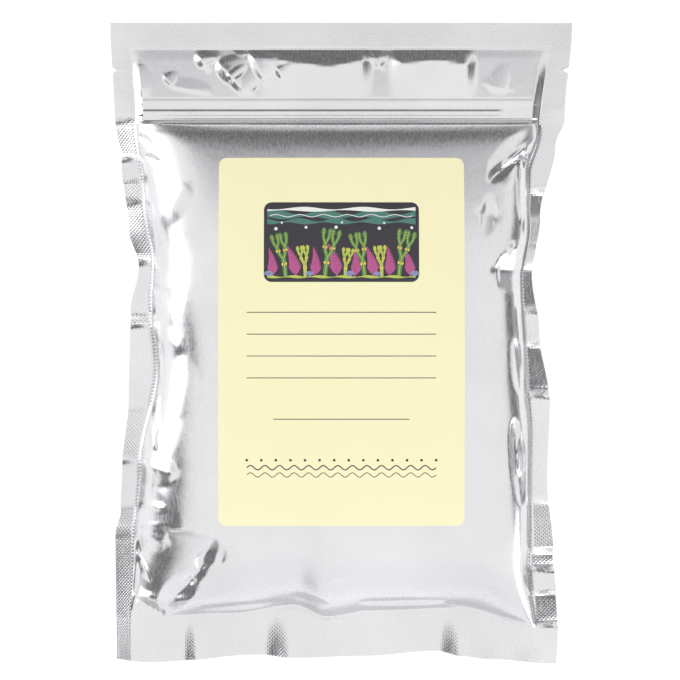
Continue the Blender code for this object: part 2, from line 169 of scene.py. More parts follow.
# %% The pillow and its main folds
SEAL_HEIGHT, SEAL_DROOP = 15.0, 4.0
FOIL, WEB_GAP = 0.4, 0.3
FRONT_BULGE, BACK_BULGE = 25.0, 22.0
LEFT_WALL, RIGHT_WALL, BOTTOM_WALL, BACK_WALL = (9.0, 0.85), (30.0, 0.55), (6.5, 1.0), (6.0, 0.7)
TOP_RAMP, TOP_WALL, TOP_STEP = (3.5, 1.0), (40.0, 0.6), 0.55
SIDE_CROWN, END_CROWN = 0.12, 0.14
ZIP_LIFT, ZIP_TAPER, FLAP_TAPER = 1.9, 3.5, 20.0
BELLY_FOLDS = (
    ((84.0, 88.0), (63.0, 69.0), 8.0, -1.3),
    ((77.0, 29.5), (64.5, 30.0), 9.0, -3.6),
    ((-53.0, -82.0), (-59.5, -93.0), 4.4, -1.9),
    ((-62.0, -98.0), (-75.0, -111.0), 6.0, -2.8),
    ((-81.0, 47.0), (-64.0, 66.0), 7.0, 0.9),
    ((-79.0, 4.0), (-66.0, -2.0), 6.0, 1.2),
    ((-88.0, -17.0), (-76.0, -17.0), 50.0, 4.0),
    ((-84.0, -50.0), (-69.0, -54.0), 6.5, 2.3),
    ((-87.0, -79.0), (-73.0, -82.5), 6.5, 2.2),
    ((-86.0, -108.0), (-76.0, -116.0), 5.0, -2.4),
    ((-84.0, -106.0), (-82.0, -76.0), 44.0, -5.0),
    ((58.0, 54.0), (64.0, 53.0), 9.0, -1.0),
    ((-4.0, -97.0), (5.0, -98.0), 4.0, -0.7),
)
BELLY_CREASES = (
    ((83.0, 87.0), (67.0, 74.0), 1.7, 0.8),
    ((80.0, 80.5), (66.0, 71.5), 1.5, -0.6),
    ((71.0, 76.0), (61.5, 68.0), 3.0, -0.9),
    ((74.0, 42.0), (70.0, 37.0), 3.0, 1.2),
    ((-57.0, -92.0), (-64.0, -100.0), 3.6, -1.5),
    ((-55.0, -84.0), (-61.0, -91.0), 1.6, -0.6),
    ((-49.0, -86.0), (-50.5, -91.0), 2.2, -0.7),
    ((-86.0, 88.0), (-79.5, 84.0), 2.2, -1.3),
    ((-82.0, 79.0), (-75.5, 75.5), 1.8, -1.0),
    ((-80.0, 60.0), (-78.0, 40.0), 1.8, 0.9),
    ((-79.0, 50.0), (-74.0, 30.0), 3.2, -0.9),
    ((-79.0, 24.0), (-71.0, 20.0), 2.6, -1.2),
    ((-78.0, 12.0), (-74.0, 6.0), 1.6, -0.8),
    ((-76.5, 0.0), (-76.0, -14.0), 1.6, 1.1),
    ((-80.0, -30.0), (-78.0, -44.0), 1.8, 1.0),
    ((-84.0, -67.0), (-73.0, -68.5), 2.2, 1.1),
    ((-85.0, -60.0), (-80.0, -57.0), 1.6, -0.8),
    ((-86.0, -88.0), (-80.0, -100.0), 2.0, 1.0),
    ((77.5, 82.0), (76.5, 44.0), 1.9, 1.9),
    ((74.5, 78.0), (74.5, 50.0), 1.6, 1.2),
    ((74.8, 20.0), (76.0, -14.0), 1.9, 1.6),
    ((72.8, 16.0), (73.8, 2.0), 1.4, 0.9),
    ((77.5, -22.0), (77.6, -88.0), 1.9, 1.8),
    ((71.5, 1.5), (73.5, -19.5), 3.2, -1.8),
    ((71.5, -32.0), (74.5, -66.0), 3.6, -2.2),
    ((73.0, -40.0), (73.5, -54.0), 1.7, 1.1),
    ((76.0, -88.0), (80.0, -108.0), 3.0, -1.8),
    ((-20.0, -106.0), (-6.0, -110.0), 3.0, -1.0),
    ((-60.0, -112.0), (-24.0, -108.5), 2.0, -0.9),
    ((8.0, -108.5), (44.0, -108.0), 2.0, -0.9),
    ((44.0, -109.0), (78.0, -118.0), 2.2, -1.2),
)
FLAP_CRUMPLES = (
    ((-60.8, 123.4), (-57.6, 117.0), 2.9, 1.5),
    ((-52.0, 118.8), (-46.0, 110.5), 3.3, 1.65),
    ((-47.6, 114.0), (-39.0, 104.8), 3.0, 1.45),
    ((-38.6, 124.2), (-33.0, 111.6), 2.8, 1.45),
    ((-46.0, 123.8), (-40.5, 122.4), 1.9, 0.8),
    ((-27.4, 116.4), (-24.8, 112.0), 1.8, 0.9),
    ((10.8, 124.0), (16.4, 117.0), 2.2, 1.1),
    ((-75.0, 113.0), (-71.4, 109.2), 1.5, 0.7),
    ((-72.0, 108.8), (-55.0, 105.2), 1.5, 0.4),
    ((-87.2, 118.0), (-86.0, 96.0), 2.0, 1.0),
    ((62.0, 109.0), (70.0, 107.0), 3.0, 0.5),
)
FLAP_PUFF = (
    (-86.0, 0.2), (-64.0, 0.2), (-50.0, 0.3), (-36.0, 0.4), (-28.0, 1.7), (-18.0, 2.4), (-8.0, 3.0),
    (8.0, 2.5), (14.0, 0.5), (19.0, 0.5), (26.0, 2.5), (40.0, 2.2), (52.0, 2.3), (58.0, 0.2), (84.0, 0.1),
)
FLAP_CREST = (
    (-50.0, 2.80), (-30.0, 2.82), (-19.0, 2.72), (-6.0, 2.64), (9.0, 2.76), (17.0, 2.84), (26.0, 2.72),
    (40.0, 2.78), (53.0, 2.70), (60.0, 2.84),
)
FLAP_SIDE = 12.0
LEAF_TIP = 0.35


def fold_height(x, y, folds, gentle=1.0):
    """Sum of straight folds, each a leaf: widest and highest half way, and pointed at both ends.

    A fold's side to the left, seen from its end, can be gentler than the other by this factor.
    """
    total = np.zeros(np.broadcast(x, y).shape)
    for start, end, half_width, height in folds:
        run = np.subtract(end, start)
        share = np.clip(((x - start[0]) * run[0] + (y - start[1]) * run[1]) / (run @ run), 0, 1)
        distance = np.hypot(x - start[0] - share * run[0], y - start[1] - share * run[1])
        leaf = LEAF_TIP + (1 - LEAF_TIP) * np.sqrt(4 * share * (1 - share))
        on_left = (x - start[0]) * run[1] - (y - start[1]) * run[0] < 0
        reach = half_width * leaf * np.where(on_left, gentle, 1)
        total += height * leaf * np.maximum(0, 1 - distance / reach)
    return total


def plateau(value, low, high, ramp):
    """1 between low and high, falling to 0 within a ramp outside them."""
    return np.maximum(0, 1 - np.maximum(0, np.maximum(low - value, value - high)) / ramp)


def dome(share, crown, wall):
    """A gentle crown that ends in a wall, narrow for a high power and steep-footed for a low rounding."""
    power, rounding = wall
    share = np.clip(np.abs(share), 0, 1)
    return (1 - crown * share**2) * (1 - share**power) ** rounding


def seal_height(x, y, across, along):
    """Height of the plane between the two webs, with the slow waves of the four margins."""
    outside = np.maximum(0, np.abs(across) - 1)
    tilt = np.where(across < 0, smooth_path(LEFT_TILT, y), smooth_path(RIGHT_TILT, y))
    waves = smooth_path(TOP_WAVE, x) * np.maximum(0, along - 2) / 2
    waves = waves + smooth_path(BOTTOM_WAVE, x) * np.maximum(0, -along - 1)
    return SEAL_HEIGHT - SEAL_DROOP * (y / TOP_EDGE) ** 2 + tilt * outside + waves


def front_bulge(across, along):
    """The front's share of its full height. Its top end is a ramp with a low steep wall at the zip."""
    side = np.where(across > 0, dome(across, SIDE_CROWN, RIGHT_WALL), dome(across, SIDE_CROWN, LEFT_WALL))
    top = blend(dome(along, END_CROWN, TOP_RAMP), dome(along, END_CROWN, TOP_WALL), TOP_STEP)
    return side * np.where(along > 0, top, dome(along, END_CROWN, BOTTOM_WALL))


def zip_lift(y, across):
    """How far the zip strips hold each web off the middle plane. Above the zip the web comes down slowly."""
    below = plateau(y, ZIP_LOW, ZIP_HIGH, ZIP_TAPER)
    above = plateau(y, ZIP_LOW, ZIP_HIGH, FLAP_TAPER)
    return ZIP_LIFT * inside_share(across) * np.where(y > ZIP_HIGH, above, below)


def inside_share(across):
    return np.clip((1 - np.abs(across)) * HALF_WIDTH / ZIP_TAPER, 0, 1)


def flap_height(x, across, along):
    """The flap's puff, which is highest near the top seal."""
    crest = smooth_path(FLAP_CREST, x)
    rise = np.clip((along - 2) / (crest - 2), 0, 1)
    fall = np.clip((3 - along) / (3 - crest), 0, 1)
    puff = smooth_path(FLAP_PUFF, x) * np.where(along < crest, rise, fall)
    return puff * np.clip((1 - np.abs(across)) * FLAP_SIDE, 0, 1)


def front_height(across, along):
    """Height of the front web's outer face before its foil settles."""
    x, y = pouch_place(across, along)
    lift = FRONT_BULGE * front_bulge(across, along) + zip_lift(y, across)
    lift += fold_height(x, y, BELLY_FOLDS) * inside_share(across) * (along < 1)
    lift += flap_height(x, across, along)
    return seal_height(x, y, across, along) + FOIL + WEB_GAP / 2 + np.maximum(0, lift)


def back_height(across, along):
    """Height of the back web's outer face before its foil settles."""
    x, y = pouch_place(across, along)
    drop = BACK_BULGE * dome(across, SIDE_CROWN, BACK_WALL) * dome(along, END_CROWN, BACK_WALL)
    drop += zip_lift(y, across)
    return np.maximum(0, seal_height(x, y, across, along) - FOIL - WEB_GAP / 2 - drop)


middle = np.zeros(1)
print("front and back at the middle, in mm:", front_height(middle, middle), back_height(middle, middle))

# %% [markdown]
# Real foil is a little too large for the space that it covers, so it buckles: that is what its creases are.
#
# Creases could be sculpted one by one, but a cloth simulation finds them as the real sheet does.
# The sheet is laid on the plain form with one per cent of spare size in its walls, less in the flap and the
# margins and none in its filled middle. It is held firmly along its seal lines and zip, and softly elsewhere.
# Light pressure stands for the filling. The solver is steadier with large things, so the sheet is made ten
# times life size.

# %% Settle the foil
SOLVER_SCALE = 10
SIM_FRAMES = 25
MARGIN_SPARE, FLAP_SPARE = 0.25, 0.4
BELLY_EDGE, BELLY_FADE = 0.93, 0.22
FLAP_PUSH = 0.12
CLOTH = {
    "quality": 6, "mass": 0.3, "tension_stiffness": 60, "compression_stiffness": 60, "shear_stiffness": 30,
    "bending_stiffness": 5.0, "air_damping": 2, "vertex_group_mass": "held", "pin_stiffness": 1,
    "shrink_min": 0, "shrink_max": -0.010, "vertex_group_shrink": "spare", "use_pressure": True,
    "vertex_group_pressure": "pushed",
}


def even_stations(start, end, cells):
    return [blend(start, end, i / cells) for i in range(cells)]


def crowded_stations(cells, crowding):
    """Stations from -1 to 1, closer together towards both ends."""
    evenly = (blend(-1, 1, i / cells) for i in range(cells))
    return [t + crowding * math.sin(math.pi * t) for t in evenly]


SIM_ACROSS = np.array(even_stations(-2, -1, 5) + crowded_stations(100, 0.12) + even_stations(1, 2, 5) + [2])
SIM_ALONG = np.array(
    even_stations(-2, -1, 9) + crowded_stations(128, 0.06) + even_stations(1, 2, 8)
    + even_stations(2, 3, 13) + even_stations(3, 4, 7) + [4]
)


def deselect():
    for thing in bpy.context.selected_objects:
        thing.select_set(False)


def select_only(piece):
    """Make this the one selected and active object, ready for an operator."""
    deselect()
    piece.select_set(True)
    bpy.context.view_layer.objects.active = piece


def grid_of(name, across, along):
    """A flat grid, and which column and row each of its corners is in."""
    deselect()
    bpy.ops.mesh.primitive_grid_add(x_subdivisions=len(across) - 1, y_subdivisions=len(along) - 1, size=2)
    grid = bpy.context.active_object
    grid.name = name
    grid.data.name = name
    flat = corners_of(grid.data)
    column = np.rint((flat[:, 0] + 1) / 2 * (len(across) - 1)).astype(int)
    row = np.rint((flat[:, 1] + 1) / 2 * (len(along) - 1)).astype(int)
    return grid, column, row


def corners_of(mesh):
    places = np.empty(len(mesh.vertices) * 3, np.float32)
    mesh.vertices.foreach_get("co", places)
    return places.reshape(-1, 3).astype(float)


def set_corners(mesh, places):
    mesh.vertices.foreach_set("co", np.asarray(places, np.float32).ravel())
    mesh.update()


def laid_sheet(height):
    """The rows and columns of a web's places in mm, before it settles."""
    across, along = np.meshgrid(SIM_ACROSS, SIM_ALONG)
    x, y = pouch_place(across, along)
    return np.stack((x, y, height(across, along)), axis=-1)


def settled_sheet(name, places, pressure, margin_hold, body_hold, middle_hold):
    """The same sheet after the cloth solver has let its spare foil buckle."""
    sheet, column, row = grid_of(name, SIM_ACROSS, SIM_ALONG)
    set_corners(sheet.data, places[row, column] * MM * SOLVER_SCALE)
    across, along = SIM_ACROSS[column], SIM_ALONG[row]
    on_line = (np.abs(np.abs(across) - 1) < 1e-6) & (along > -1.001) & (along < 3.001)
    on_line |= (np.abs(along + 1) < 1e-6) & (np.abs(across) <= 1)
    on_line |= (np.abs(along - 3) < 1e-6) & (np.abs(across) <= 1)
    on_line |= (along >= 1) & (along <= 2) & (np.abs(across) <= 1)
    margin = (np.abs(across) > 1) | (along < -1) | (along > 3)
    flap = (along > 2) & (along < 3) & (np.abs(across) < 1)
    belly = np.clip((BELLY_EDGE - np.maximum(np.abs(across), np.abs(along))) / BELLY_FADE, 0, 1)
    hold = np.where(on_line, 1, np.where(margin | flap, margin_hold, blend(body_hold, middle_hold, belly)))
    push = np.where((np.abs(across) < 1) & (np.abs(along) < 1), 1.0, 0.0)
    push[flap] = FLAP_PUSH
    spare = np.where(margin, MARGIN_SPARE, np.where(flap, FLAP_SPARE, 1 - belly))
    for group_name, weights in (("held", hold), ("pushed", push), ("spare", spare)):
        group = sheet.vertex_groups.new(name=group_name)
        for i, weight in enumerate(weights):
            group.add([i], float(weight), "REPLACE")
    cloth = sheet.modifiers.new("settle", "CLOTH")
    cloth.point_cache.frame_end = SIM_FRAMES + 5
    cloth.collision_settings.use_collision = False
    for setting, value in CLOTH.items():
        setattr(cloth.settings, setting, value)
    cloth.settings.uniform_pressure_force = pressure
    cloth.settings.effector_weights.gravity = 0
    for step in range(1, SIM_FRAMES + 1):
        bpy.context.scene.frame_set(step)
    select_only(sheet)
    bpy.ops.object.modifier_apply(modifier=cloth.name)
    settled = np.empty_like(places)
    settled[row, column] = corners_of(sheet.data) / (MM * SOLVER_SCALE)
    bpy.data.objects.remove(sheet, do_unlink=True)
    bpy.context.scene.frame_set(1)
    return settled


def edges_kept(settled, places):
    """The settled sheet with its outer edges slid back, in X and Y alone, onto the lines that they left."""
    slid = settled.copy()
    outside = np.maximum(0, np.abs(SIM_ACROSS) - 1)
    for side, chosen in ((0, SIM_ACROSS < 0), (-1, SIM_ACROSS > 0)):
        drift = (settled - places)[:, side, 0]
        slid[:, chosen, 0] -= drift[:, None] * outside[chosen]
    for end, share in ((0, np.maximum(0, -1 - SIM_ALONG)), (-1, np.maximum(0, SIM_ALONG - 3))):
        drift = (settled - places)[end, :, 1]
        slid[:, :, 1] -= share[:, None] * drift[None, :]
    return slid


laid_front = laid_sheet(front_height)
front_sheet = edges_kept(settled_sheet("front_settling", laid_front, 0.2, 0.1, 0.03, 0.4), laid_front)
moved = np.linalg.norm(front_sheet - laid_front, axis=-1)
print("front foil moved at most %.1f mm, %.1f on average" % (moved.max(), moved.mean()))

# %% [markdown]
# The back web settles in the same way, pushed down and then stopped by the surface that it lies on.
#
# Its flap isn't simulated: behind the zip the two webs lie together, so it follows the front flap.

# %% Settle the back
FLAP_GAP = 0.9
laid_back = laid_sheet(back_height)
back_sheet = settled_sheet("back_settling", laid_back, -0.3, 0.5, 0.03, 0.3)
flap_rows = SIM_ALONG >= 2
web_gap = np.maximum(laid_front[..., 2] - laid_back[..., 2], FLAP_GAP)
back_sheet[flap_rows] = front_sheet[flap_rows]
back_sheet[flap_rows, :, 2] -= web_gap[flap_rows]
back_sheet[..., 2] = np.maximum(back_sheet[..., 2], 0)
print("the back's flat belly covers %.0f %% of its corners" % (100 * (back_sheet[..., 2] < 0.05).mean()))

# %% [markdown]
# The settled sheet is a coarse net of about 1.7 mm, but the finished pieces need finer ones.
#
# A smooth line through each four neighbouring places gives the foil between them, first across and then
# along, so any piece can be cut from the sheet at its own fineness and still meets its neighbours.

# %% Read the sheet finely


def spline_weights(stations, wanted):
    """Weights that read a smooth line through the stations at each wanted place, one row for each."""
    spot = np.interp(wanted, stations, np.arange(len(stations)))
    first = np.clip(np.floor(spot).astype(int), 0, len(stations) - 2)
    t = spot - first
    shares = (
        -0.5 * t + t**2 - 0.5 * t**3,
        1 - 2.5 * t**2 + 1.5 * t**3,
        0.5 * t + 2 * t**2 - 1.5 * t**3,
        -0.5 * t**2 + 0.5 * t**3,
    )
    weights = np.zeros((len(wanted), len(stations)))
    for offset, share in zip((-1, 0, 1, 2), shares):
        column = np.clip(first + offset, 0, len(stations) - 1)
        np.add.at(weights, (np.arange(len(wanted)), column), share)
    return weights


def read_sheet(sheet, across, along):
    """Places in mm on a settled sheet, for every along (rows) and across (columns)."""
    rows = spline_weights(SIM_ALONG, along)
    columns = spline_weights(SIM_ACROSS, across)
    return np.einsum("ra,acx,bc->rbx", rows, sheet, columns, optimize=True)


print("a spot read twice:", read_sheet(front_sheet, np.array([0.1]), np.array([0.2]))[0, 0].round(2))

# %% [markdown]
# The front web of the filled part: one sheet of foil a third of a millimetre thick.
#
# Thickness comes from Solidify, pushed inwards, so the outer face stays where the sheet settled.

# %% Front web
WEB_THICKNESS = 0.3
WEB_ACROSS = np.array(crowded_stations(196, 0.12) + [1])
BODY_ALONG = np.array(crowded_stations(204, 0.06) + [1])
CREASE_SIDE, CREASE_END = 40, 60


def finish_sheet(piece, thickness, sharp_angle=35):
    """Give a sheet its thickness under its outer face, and smooth shading but for its cut edges."""
    select_only(piece)
    solid = piece.modifiers.new("thickness", "SOLIDIFY")
    solid.thickness = thickness * MM
    solid.offset = -1
    bpy.ops.object.modifier_apply(modifier=solid.name)
    bpy.ops.object.shade_smooth_by_angle(angle=math.radians(sharp_angle))


def web_piece(name, sheet, across, along, relief=None):
    """A grid laid on the settled sheet, with its own fine relief in mm."""
    piece, column, row = grid_of(name, across, along)
    places = read_sheet(sheet, across, along)
    if relief is not None:
        places[..., 2] += relief(places[..., 0], places[..., 1], across[None, :], along[:, None])
    places[..., 2] = np.maximum(places[..., 2], 0)
    set_corners(piece.data, places[row, column] * MM)
    return piece


def crease_relief(x, y, across, along):
    """The thin creases of the belly and its walls, which end before the seals and the zip."""
    fade = np.clip((1 - np.abs(across)) * CREASE_SIDE, 0, 1) * np.clip((1 - np.abs(along)) * CREASE_END, 0, 1)
    return fold_height(x, y, BELLY_CREASES) * fade


front_web = web_piece("front_web", front_sheet, WEB_ACROSS, BODY_ALONG, crease_relief)
finish_sheet(front_web, WEB_THICKNESS)
print("front web:", len(front_web.data.polygons), "faces")

# %% [markdown]
# Over the filled part lie the zip and the flap. The zip's two tracks press through the foil as low rails.
#
# The rows of this piece are close together, so that each rail has a flat top and two short slopes.

# %% Zip and flap
ZIP_TRACKS = ((97.4, 0.34, 69.0), (101.9, 0.13, 90.0))
TRACK_HALF, TRACK_SLOPE, TRACK_END = 0.7, 0.7, 3.0
ZIP_ROWS, FLAP_ROWS = 34, 40
FLAP_ACROSS = np.array(crowded_stations(300, 0.04) + [1])
CRUMPLE_GENTLE, CRUMPLE_END = 3.5, 6


def zip_and_flap_relief(x, y, across, along):
    """The rails of the zip, each crushed flat from its own X on, and the crumples of the flap."""
    rails = 0
    for track, rail_height, crushed in ZIP_TRACKS:
        whole = np.clip((crushed - x) / TRACK_END, 0, 1)
        rails = rails + rail_height * whole * plateau(y, track - TRACK_HALF, track + TRACK_HALF, TRACK_SLOPE)
    fade = np.clip((3 - along) * CRUMPLE_END, 0, 1) * np.clip((along - 2) * CRUMPLE_END, 0, 1)
    fade = fade * inside_share(across)
    return rails * inside_share(across) + fold_height(x, y, FLAP_CRUMPLES, CRUMPLE_GENTLE) * fade


flap_along = np.array(even_stations(1, 2, ZIP_ROWS) + even_stations(2, 3, FLAP_ROWS) + [3])
zip_and_flap = web_piece("zip_and_flap", front_sheet, FLAP_ACROSS, flap_along, zip_and_flap_relief)
finish_sheet(zip_and_flap, WEB_THICKNESS)
print("zip and flap:", len(zip_and_flap.data.polygons), "faces")

# %% [markdown]
# The four sealed margins are one ring in which both webs are pressed together between knurled jaws.
#
# The knurl is a lattice of small pits. Every second corner of a fine net stands up and the others go down,
# and each cell is split along its ridge, so flat shading shows the same facets that the jaws leave.
# The tear notches are small cuts in from both edges of the flap.

# %% Sealed margin
KNURL_CELL, KNURL_HEIGHT = 0.72, 0.03
MARGIN_THICKNESS = 0.55
NOTCH_Y, NOTCH_HALF = 115.7, 1.1
LEFT_NOTCH, RIGHT_NOTCH = 2.0, 3.2
SIDE_INSET = 12.0
BOTTOM_SEAL, BELLY_LENGTH, ZIP_LENGTH, FLAP_LENGTH = 20.0, 206.0, 12.6, 20.0


def cells_for(length):
    return round(length / KNURL_CELL)


RING_ACROSS = np.array(
    even_stations(-2, -1, cells_for(LEFT_SEAL))
    + even_stations(-1, 1, cells_for(2 * (HALF_WIDTH - SIDE_INSET)))
    + even_stations(1, 2, cells_for(RIGHT_SEAL)) + [2]
)
RING_ALONG = np.array(
    even_stations(-2, -1, cells_for(BOTTOM_SEAL)) + even_stations(-1, 1, cells_for(BELLY_LENGTH))
    + even_stations(1, 2, cells_for(ZIP_LENGTH)) + even_stations(2, 3, cells_for(FLAP_LENGTH))
    + even_stations(3, 4, cells_for(TOP_SEAL)) + [4]
)


def select_faces(piece, chosen):
    """Select the faces whose mask is true, in object mode, ready for an edit-mode operator."""
    select_only(piece)
    bpy.context.tool_settings.mesh_select_mode = (False, False, True)
    mesh = piece.data
    mesh.vertices.foreach_set("select", np.zeros(len(mesh.vertices), bool))
    mesh.edges.foreach_set("select", np.zeros(len(mesh.edges), bool))
    mesh.polygons.foreach_set("select", np.asarray(chosen, bool))


def face_middles(piece):
    middles = np.empty(len(piece.data.polygons) * 3, np.float32)
    piece.data.polygons.foreach_get("center", middles)
    return middles.reshape(-1, 3)


def split_along_ridges(piece):
    """Split each cell into two triangles that meet on the line between its two high corners."""
    mesh = piece.data
    corners = np.empty(len(mesh.loops), np.int32)
    mesh.loops.foreach_get("vertex_index", corners)
    heights = corners_of(mesh)[corners.reshape(-1, 4), 2]
    first_two_high = heights[:, 0] + heights[:, 2] > heights[:, 1] + heights[:, 3]
    select_faces(piece, first_two_high)
    bpy.ops.object.mode_set(mode="EDIT")
    bpy.ops.mesh.quads_convert_to_tris(quad_method="FIXED")
    bpy.ops.mesh.select_all(action="SELECT")
    bpy.ops.mesh.quads_convert_to_tris(quad_method="FIXED_ALTERNATE")
    bpy.ops.object.mode_set(mode="OBJECT")


def sealed_ring(name):
    """The ring of margins: a fine grid with its filled middle deleted."""
    ring, column, row = grid_of(name, RING_ACROSS, RING_ALONG)
    middles = face_middles(ring)
    across = np.interp((middles[:, 0] + 1) / 2, np.linspace(0, 1, len(RING_ACROSS)), RING_ACROSS)
    along = np.interp((middles[:, 1] + 1) / 2, np.linspace(0, 1, len(RING_ALONG)), RING_ALONG)
    places = read_sheet(front_sheet, RING_ACROSS, RING_ALONG)
    y = places[..., 1]
    edge_share = np.maximum(0, np.abs(RING_ACROSS) - 1)[None, :] ** 4
    notch = np.maximum(0, 1 - np.abs(y - NOTCH_Y) / NOTCH_HALF) * edge_share
    places[..., 0] += notch * np.where(RING_ACROSS < 0, LEFT_NOTCH, -RIGHT_NOTCH)[None, :]
    inner = (np.abs(RING_ACROSS) <= 1)[None, :] & ((RING_ALONG >= -1) & (RING_ALONG <= 3))[:, None]
    high = (np.arange(len(RING_ACROSS))[None, :] + np.arange(len(RING_ALONG))[:, None]) % 2
    places[..., 2] += np.where(inner, 0, KNURL_HEIGHT * (2 * high - 1))
    set_corners(ring.data, places[row, column] * MM)
    select_faces(ring, (np.abs(across) < 1) & (along > -1) & (along < 3))
    bpy.ops.object.mode_set(mode="EDIT")
    bpy.ops.mesh.delete(type="FACE")
    bpy.ops.object.mode_set(mode="OBJECT")
    split_along_ridges(ring)
    return ring


sealed_margin = sealed_ring("sealed_margin")
finish_sheet(sealed_margin, MARGIN_THICKNESS)
bpy.ops.object.shade_flat()
print("sealed margin:", len(sealed_margin.data.polygons), "faces")

# %% [markdown]
# The back web is the same kind of piece, turned over: its faces point down before it gets its thickness.

# %% Back web
BACK_ACROSS = np.array(crowded_stations(120, 0.12) + [1])
BACK_ALONG = np.array(crowded_stations(140, 0.06) + even_stations(1, 3, 24) + [3])
back_web = web_piece("back_web", back_sheet, BACK_ACROSS, BACK_ALONG)
select_only(back_web)
bpy.ops.object.mode_set(mode="EDIT")
bpy.ops.mesh.select_all(action="SELECT")
bpy.ops.mesh.flip_normals()
bpy.ops.object.mode_set(mode="OBJECT")
finish_sheet(back_web, WEB_THICKNESS)
print("back web:", len(back_web.data.polygons), "faces")

# %% [markdown]
# Nobody sees the filling of a sealed pouch, but it is what holds the pouch up, so it is there.
#
# It is cut dried seaweed, one packed mass. A cube is cut finely in edit mode and laid between the settled
# webs, and cell noise sets each small patch of it at a height of its own, as the flat cut pieces lie.

# %% Filling
FILL_CUTS, FILL_REACH, FILL_CLEARANCE = 46, 0.92, 0.9
PIECE_SIZE, PIECE_RELIEF = 4.5, 1.3


def packed_filling(name):
    """One closed mass of cut pieces between the webs."""
    deselect()
    bpy.ops.mesh.primitive_cube_add(size=2)
    mass = bpy.context.active_object
    mass.name = mass.data.name = name
    bpy.ops.object.mode_set(mode="EDIT")
    bpy.ops.mesh.select_all(action="SELECT")
    bpy.ops.mesh.subdivide(number_cuts=FILL_CUTS)
    bpy.ops.object.mode_set(mode="OBJECT")
    cube = corners_of(mass.data)
    stations = np.unique(cube[:, 0].round(5))
    step = np.searchsorted(stations, cube[:, :2].round(5) - 1e-4)
    spread = FILL_REACH * (stations + 0.12 * np.sin(math.pi * stations))
    top = read_sheet(front_sheet, spread, spread)[step[:, 1], step[:, 0]]
    bottom = read_sheet(back_sheet, spread, spread)[step[:, 1], step[:, 0]]
    places = blend(bottom, top, (cube[:, 2:] + 1) / 2)
    patches = [abs(noise.cell(Vector(place) / PIECE_SIZE)) for place in places]
    inset = WEB_THICKNESS + FILL_CLEARANCE + PIECE_RELIEF * np.array(patches)
    room = np.maximum(top[:, 2] - bottom[:, 2] - 2 * inset, 0.2)
    places[:, 2] = bottom[:, 2] + inset + room * (cube[:, 2] + 1) / 2
    set_corners(mass.data, places * MM)
    return mass


cut_seaweed = packed_filling("cut_seaweed")
print("filling:", len(cut_seaweed.data.polygons), "faces")

# %% [markdown]
# The label is paper, which is stiffer than foil: it spans the small dents and only follows the large curve.
#
# So its height is a smooth polynomial fitted to the foil under it, and raised until it is clear everywhere.

# %% Label form
LABEL_WIDTH, LABEL_HEIGHT, LABEL_CORNER, LABEL_RISE = 101.6, 152.4, 3.2, 1.0
LABEL_PAPER, LABEL_CLEARANCE = 0.22, 0.08
FIT_POWER = 5


def fit_terms(x, y):
    x, y = np.ravel(x) / 60, np.ravel(y) / 80
    return np.stack([x**i * y**j for i in range(FIT_POWER + 1) for j in range(FIT_POWER + 1 - i)], axis=-1)


under = read_sheet(front_sheet, np.linspace(-0.85, 0.85, 150), np.linspace(-0.92, 0.98, 200)).reshape(-1, 3)
near = (np.abs(under[:, 0]) < LABEL_WIDTH / 2 + 2) & (np.abs(under[:, 1] - LABEL_RISE) < LABEL_HEIGHT / 2 + 2)
under = under[near]
label_fit = np.linalg.lstsq(fit_terms(under[:, 0], under[:, 1]), under[:, 2], rcond=None)[0]
label_lift = float((under[:, 2] - fit_terms(under[:, 0], under[:, 1]) @ label_fit).max()) + LABEL_CLEARANCE


def label_surface(x, y):
    """Height in mm of the label's printed face."""
    return (fit_terms(x, y) @ label_fit).reshape(np.shape(x)) + label_lift + LABEL_PAPER


def rounded_line(length, cells):
    """Stations along one side of the label, closest in its rounded corners."""
    half, inner = length / 2, length / 2 - LABEL_CORNER
    corner = [LABEL_CORNER * math.sin(math.radians(angle)) for angle in range(0, 90, 15)]
    ends = [inner + step for step in corner] + [half]
    middle = list(np.linspace(-inner, inner, cells)[1:-1])
    return np.array([-value for value in reversed(ends)] + middle + ends)


def rounded_sheet(name, width, height, corner_radius, centre, cells):
    """A sheet with round corners: a grid with its corner squares drawn in to arcs, on the label's face."""
    across, along = rounded_line(width, cells[0]), rounded_line(height, cells[1])
    sheet, column, row = grid_of(name, across, along)
    x, y = across[column], along[row]
    past_x = np.maximum(0, np.abs(x) - width / 2 + corner_radius)
    past_y = np.maximum(0, np.abs(y) - height / 2 + corner_radius)
    both = (past_x > 0) & (past_y > 0)
    pull = np.where(both, 1 - np.maximum(past_x, past_y) / np.maximum(np.hypot(past_x, past_y), 1e-9), 0)
    x = x - np.sign(x) * past_x * pull + centre[0]
    y = y - np.sign(y) * past_y * pull + centre[1]
    set_corners(sheet.data, np.stack((x, y, label_surface(x, y)), axis=-1) * MM)
    return sheet


paper_label = rounded_sheet(
    "paper_label", LABEL_WIDTH, LABEL_HEIGHT, LABEL_CORNER, (0, LABEL_RISE), (70, 104)
)
finish_sheet(paper_label, LABEL_PAPER)
print("label lifted %.2f mm over the fit, %d faces" % (label_lift, len(paper_label.data.polygons)))

# %% [markdown]
# The label's print is a plain ornament of sea plants on a dark ground, and a few ruled lines to write on.
#
# Each ink is one thin mesh that lies a few hundredths of a millimetre over the paper, so every edge stays
# crisp however near the camera comes. A ribbon along a curve makes a frond, and an ellipse makes a float.

# %% Shapes of the print
INK_STEP = 0.02


